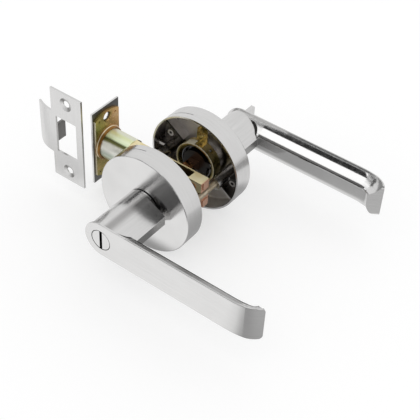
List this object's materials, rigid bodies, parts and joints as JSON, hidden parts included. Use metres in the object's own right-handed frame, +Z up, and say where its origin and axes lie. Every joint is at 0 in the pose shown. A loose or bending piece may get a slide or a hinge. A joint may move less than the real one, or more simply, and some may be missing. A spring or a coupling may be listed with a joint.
{
  "type": "door lever handle",
  "caption": "Privacy door lever set: curved flat levers on round roses, tubular latch with faceplate and separate lipped strike plate; coin slot outside, turn button inside.",
  "frame": {"origin": "where the spindle axis meets the latch axis, midway between the backs of the two roses", "axes": "+X to the levers' free ends (latch and door edge at -X), +Y to the inside of the door (outside lever with the coin slot at -Y), +Z up"},
  "size_m": [0.2069, 0.1564, 0.0828],
  "materials": {
    "satin_nickel": "satin plated die casting, finely brushed",
    "yellow_zinc": "yellow passivated zinc plate, slightly iridescent",
    "copper_plate": "copper coloured plate",
    "bright_steel": "bright zinc plate",
    "nylon": "moulded nylon"
  },
  "bodies": {
    "door_set": {"outside_rose": "satin_nickel", "inside_rose": "satin_nickel", "outside_bush": "nylon", "inside_bush": "nylon", "outside_spring_cage": "yellow_zinc", "inside_spring_cage": "yellow_zinc", "outside_cage_screws": "yellow_zinc", "inside_cage_screws": "yellow_zinc", "outside_return_spring": "bright_steel", "inside_return_spring": "bright_steel", "faceplate": "satin_nickel", "latch_backplate": "yellow_zinc", "latch_tube": "yellow_zinc", "latch_case": "yellow_zinc", "case_rivets": "copper_plate", "latch_spring": "bright_steel", "through_bolts": "yellow_zinc", "strike_plate": "satin_nickel"},
    "outside_handle": {"outside_lever": "satin_nickel", "drive_spindle": "copper_plate", "outside_circlip": "bright_steel"},
    "inside_handle": {"inside_lever": "satin_nickel", "inside_circlip": "bright_steel", "inside_grub_screw": "bright_steel"},
    "hub": {"latch_hub": "yellow_zinc"},
    "bolt": {"latch_bolt": "satin_nickel", "bolt_stem": "bright_steel", "retractor": "yellow_zinc"},
    "coin_release": {"coin_turn": "satin_nickel"},
    "thumb_turn": {"turn_button": "satin_nickel", "privacy_bar": "bright_steel", "lock_arm": "bright_steel"}
  },
  "joints": [
    {"name": "outside_lever_turn", "type": "hinge", "parent": "door_set", "child": "outside_handle", "pos_m": [0, 0, 0], "axis": [0, 1, 0], "range_deg": [0, 60], "stiffness_Nm_per_rad": 0.6, "springref_deg": -51.57, "deforming": ["outside_return_spring"]},
    {"name": "inside_lever_turn", "type": "hinge", "parent": "door_set", "child": "inside_handle", "pos_m": [0, 0, 0], "axis": [0, 1, 0], "range_deg": [0, 60], "stiffness_Nm_per_rad": 0.6, "springref_deg": -51.57, "deforming": ["inside_return_spring"]},
    {"name": "hub_turn", "type": "hinge", "parent": "door_set", "child": "hub", "pos_m": [0, 0, 0], "axis": [0, 1, 0], "range_deg": [0, 60]},
    {"name": "bolt_slide", "type": "slide", "parent": "door_set", "child": "bolt", "axis": [1, 0, 0], "range_m": [0, 0.0097], "stiffness_N_per_m": 250, "springref_m": -0.02, "deforming": ["latch_spring"]},
    {"name": "thumb_turn_turn", "type": "hinge", "parent": "inside_handle", "child": "thumb_turn", "pos_m": [0, 0.0725, 0], "axis": [0, 1, 0], "range_deg": [0, 90]},
    {"name": "coin_turn_turn", "type": "hinge", "parent": "outside_handle", "child": "coin_release", "pos_m": [0, -0.0725, 0], "axis": [0, 1, 0], "range_deg": [0, 90]}
  ],
  "couplings": [
    {"joint": "inside_lever_turn", "follows": "outside_lever_turn", "ratio": 1},
    {"joint": "hub_turn", "follows": "outside_lever_turn", "ratio": 1},
    {"joint": "bolt_slide", "follows": "outside_lever_turn", "m_per_rad": 0.009262},
    {"joint": "coin_turn_turn", "follows": "thumb_turn_turn", "ratio": 1}
  ]
}
